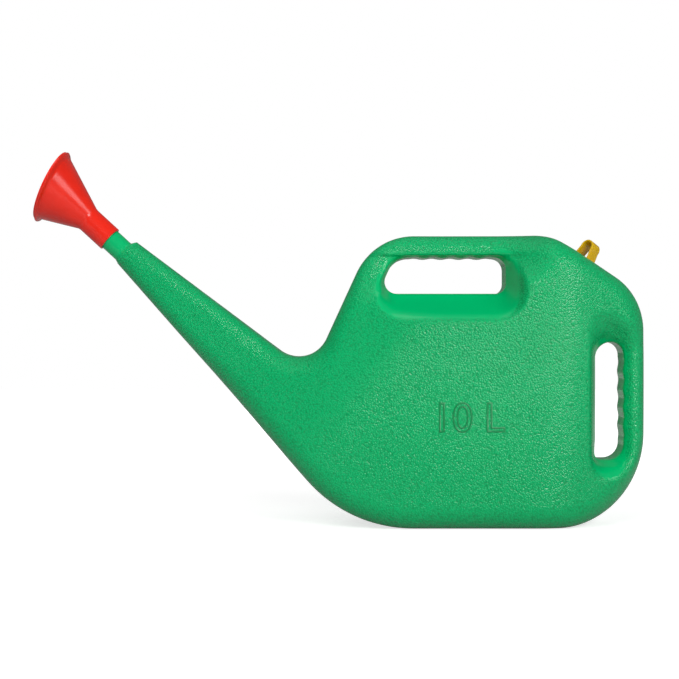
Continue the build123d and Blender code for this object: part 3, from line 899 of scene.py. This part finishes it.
class CanSizes(bpy.types.PropertyGroup):
    """Sizes of the can's skin that can change without touching its solids."""

    wall: bpy.props.FloatProperty(
        name="Wall", description="Thickness of the moulded wall", default=1.8 * MM, unit="LENGTH")
    edge_radius: bpy.props.FloatProperty(
        name="Edge radius", description="Rounding where the sides meet the can's edge", default=24 * MM,
        unit="LENGTH")
    crown_radius: bpy.props.FloatProperty(
        name="Crown radius", description="The same at the crown, behind the top grip", default=48 * MM,
        unit="LENGTH")
    front_edge_radius: bpy.props.FloatProperty(
        name="Front edge radius", description="The same along the can's leaning front", default=16 * MM,
        unit="LENGTH")
    grip_edge_radius: bpy.props.FloatProperty(
        name="Grip edge radius", description="The same on the grips", default=15 * MM, unit="LENGTH")
    hole_edge_radius: bpy.props.FloatProperty(
        name="Hole edge radius", description="Rounding of the hand holes' edges", default=4 * MM,
        unit="LENGTH")
    grip_inner_radius: bpy.props.FloatProperty(
        name="Grip inner radius", description="The same on the rear grip, for the palm", default=8 * MM,
        unit="LENGTH")
    finger_depth: bpy.props.FloatProperty(
        name="Finger depth", description="Depth of the finger hollows", default=1.3 * MM, unit="LENGTH")
    grain_pitch: bpy.props.FloatProperty(
        name="Grain pitch", description="Distance between the pebbles of the grain", default=1.9 * MM,
        unit="LENGTH")
    grain_depth: bpy.props.FloatProperty(
        name="Grain depth", description="Height of the pebbles", default=0.56 * MM, unit="LENGTH")


class CanMark(bpy.types.PropertyGroup):
    """The raised capacity mark."""

    text: bpy.props.StringProperty(name="Text", description="What the mark says", default="10 L")
    height: bpy.props.FloatProperty(
        name="Height", description="Height of its letters", default=30 * MM, unit="LENGTH")
    ridge: bpy.props.FloatProperty(
        name="Ridge", description="Half width of the raised line round each letter", default=0.95 * MM,
        unit="LENGTH")


class CanColours(bpy.types.PropertyGroup):
    """Colours of the plastics and the floor."""

    can: bpy.props.FloatVectorProperty(
        name="Can", description="The can's green", subtype="COLOR", default=linear("#00B169"))
    # Painted shade: this deeper green darkens the pits between the pebbles and the capacity mark; it also
    # carries the green's random drift
    can_drift_and_shade: bpy.props.FloatVectorProperty(
        name="Can, deep", description="The green between the pebbles", subtype="COLOR",
        default=linear("#00864A"))
    rose: bpy.props.FloatVectorProperty(
        name="Rose", description="The rose's red", subtype="COLOR", default=linear("#F02811"))
    rose_deep: bpy.props.FloatVectorProperty(
        name="Rose, deep", description="Darker red of its flow marks", subtype="COLOR",
        default=linear("#DC1E0D"))
    bung: bpy.props.FloatVectorProperty(
        name="Bung", description="The bung's yellow", subtype="COLOR", default=linear("#D9B408"))
    bung_deep: bpy.props.FloatVectorProperty(
        name="Bung, deep", description="Darker yellow of its flow marks", subtype="COLOR",
        default=linear("#C49A08"))
    floor: bpy.props.FloatVectorProperty(
        name="Floor", description="The paper floor", subtype="COLOR", default=linear("#C8C8C8"))


# Operators

class CAN_OT_skin(bpy.types.Operator):
    """Moulds the can's skin, with its spout, neck, grips, recesses and filler seat"""

    bl_idname = "can.skin"
    bl_label = "Mould the skin"

    def execute(self, context):
        sizes = context.scene.can_sizes
        obj = to_object("can_skin", build_skin(sizes), "can")
        obj.data.materials.append(polyethylene(context.scene.can_colours, sizes))
        shell = obj.modifiers.new("wall", "SOLIDIFY")
        shell.thickness = sizes.wall
        shell.offset = -1.0
        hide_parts("tank")
        return {"FINISHED"}


class CAN_OT_mark(bpy.types.Operator):
    """Raises the capacity mark on the can's side, as a ridge round each letter"""

    bl_idname = "can.mark"
    bl_label = "Raise the mark"

    def execute(self, context):
        mark, colours = context.scene.can_mark, context.scene.can_colours
        curve = bpy.data.curves.new("capacity_mark", "FONT")
        curve.body = mark.text
        curve.size = mark.height * FONT_PER_CAPITAL
        curve.align_x = "CENTER"
        curve.fill_mode = "NONE"
        curve.bevel_depth = mark.ridge
        curve.bevel_resolution = 2
        obj = bpy.data.objects.new("mark_text", curve)
        context.scene.collection.objects.link(obj)
        obj.rotation_euler = (math.pi / 2, 0, 0)
        obj.location = (MARK_PLACE[0] * MM, -HALF_DEPTH * MM, MARK_PLACE[1] * MM)
        context.view_layer.update()
        mesh = bpy.data.meshes.new_from_object(obj.evaluated_get(context.evaluated_depsgraph_get()))
        mesh.transform(obj.matrix_world)
        bpy.data.objects.remove(obj)
        for polygon in mesh.polygons:
            polygon.use_smooth = True
        # The can's own polyethylene, blown against a smooth part of the mould, painted all in the deeper
        # green:
        # painted shade standing in for the shadows along the raised letters' ridges
        smooth = moulded(
            "polyethylene_smooth_painted_shade", colours.can_drift_and_shade, colours.can_drift_and_shade, roughness=0.3, ior=1.54)
        letters = to_object("capacity_mark", mesh, "can")
        letters.data.materials.append(smooth)
        return {"FINISHED"}


class CAN_OT_bung(bpy.types.Operator):
    """Moulds the bung: flange, ribbed skirt, boss and finger loop"""

    bl_idname = "can.bung"
    bl_label = "Mould the bung"

    def execute(self, context):
        colours = context.scene.can_colours
        # Soft injection-moulded polyethylene: waxy, with a warm glow where light gets through thin parts
        plastic = moulded(
            "polyethylene_injection_moulded", colours.bung, colours.bung_deep,
            roughness=0.3, ior=1.52, glow=0.25)
        bung = to_object("bung", bung_mesh(), "bung")
        loop = to_object("bung_loop", strap_mesh(), "bung")
        for obj in (bung, loop):
            obj.data.materials.append(plastic)
        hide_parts("filler_bung")
        return {"FINISHED"}


class CAN_OT_rose(bpy.types.Operator):
    """Moulds the rose's cone and finishes its perforated face"""

    bl_idname = "can.rose"
    bl_label = "Mould the rose"

    def execute(self, context):
        colours = context.scene.can_colours
        # Injection-moulded polypropylene: hard and shiny, with one narrow highlight down the cone
        plastic = moulded(
            "polypropylene_injection_moulded", colours.rose, colours.rose_deep, roughness=0.23, ior=1.49)
        cone = to_object("rose_cone_moulding", rose_cone_mesh(), "rose")
        cone.data.materials.append(plastic)
        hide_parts("rose_cone")
        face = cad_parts["rose_face"]
        for slot in face.material_slots:
            slot.material = plastic
        return {"FINISHED"}


class CAN_OT_stage(bpy.types.Operator):
    """Sets the floor, the light and the camera"""

    bl_idname = "can.stage"
    bl_label = "Set the stage"

    def execute(self, context):
        scene = context.scene
        corners = [(x * FLOOR_HALF, y * FLOOR_HALF, 0) for x, y in ((-1, -1), (1, -1), (1, 1), (-1, 1))]
        mesh = bpy.data.meshes.new("floor")
        mesh.from_pydata(corners, [], [(0, 1, 2, 3)])
        floor = bpy.data.objects.new("floor", mesh)
        scene.collection.objects.link(floor)
        floor.data.materials.append(floor_material(scene.can_colours.floor))

        for name, place, target, size, power, gloss in SOFTBOXES:
            lamp = bpy.data.lights.new(name, "AREA")
            lamp.size = size
            lamp.energy = power
            obj = bpy.data.objects.new(name, lamp)
            obj.visible_glossy = gloss
            obj.location = place
            obj.rotation_euler = (Vector(target) - Vector(place)).to_track_quat("-Z", "Y").to_euler()
            scene.collection.objects.link(obj)

        world = bpy.data.worlds.new("studio")
        world.use_nodes = True
        tree = world.node_tree
        tree.nodes.clear()
        light = add(tree, "ShaderNodeBackground", {"Color": (1, 1, 1, 1), "Strength": SURROUND})
        white = add(tree, "ShaderNodeBackground", {"Color": (1, 1, 1, 1), "Strength": 1.0})
        mix = add(tree, "ShaderNodeMixShader",
                  links={0: seen_white(tree).outputs[0], 1: light.outputs[0], 2: white.outputs[0]})
        add(tree, "ShaderNodeOutputWorld", links={"Surface": mix.outputs[0]})
        scene.world = world
        scene.view_settings.view_transform = "Standard"

        lens = bpy.data.cameras.new("camera")
        lens.lens = CAMERA_LENS
        lens.sensor_width = 36.0
        camera = bpy.data.objects.new("camera", lens)
        camera.location = CAMERA_PLACE
        camera.rotation_euler = (math.pi / 2, 0, 0)
        scene.collection.objects.link(camera)
        scene.camera = camera
        return {"FINISHED"}


OPERATORS = (CAN_OT_skin, CAN_OT_mark, CAN_OT_bung, CAN_OT_rose, CAN_OT_stage)
GROUPS = {"can_sizes": CanSizes, "can_mark": CanMark, "can_colours": CanColours}


class CAN_PT_panel(bpy.types.Panel):
    """Lists the can's pieces in the 3D view's sidebar"""

    bl_idname = "CAN_PT_panel"
    bl_label = "Watering Can"
    bl_space_type = "VIEW_3D"
    bl_region_type = "UI"
    bl_category = "Watering Can"

    def draw(self, context):
        for operator in OPERATORS:
            self.layout.operator(operator.bl_idname)
        for group, kind in GROUPS.items():
            for name in kind.__annotations__:
                self.layout.prop(getattr(context.scene, group), name)


def register():
    """Registers the settings, the operators and the panel."""
    for kind in (*GROUPS.values(), *OPERATORS, CAN_PT_panel):
        bpy.utils.register_class(kind)
    for name, kind in GROUPS.items():
        setattr(bpy.types.Scene, name, bpy.props.PointerProperty(type=kind))


def unregister():
    """Takes them away again."""
    for name in GROUPS:
        delattr(bpy.types.Scene, name)
    for kind in (CAN_PT_panel, *reversed(OPERATORS), *reversed(GROUPS.values())):
        bpy.utils.unregister_class(kind)


def main():
    """Makes every piece and the stage."""
    register()
    bpy.ops.can.skin()
    bpy.ops.can.mark()
    bpy.ops.can.bung()
    bpy.ops.can.rose()
    bpy.ops.can.stage()


if __name__ == "__main__":
    main()
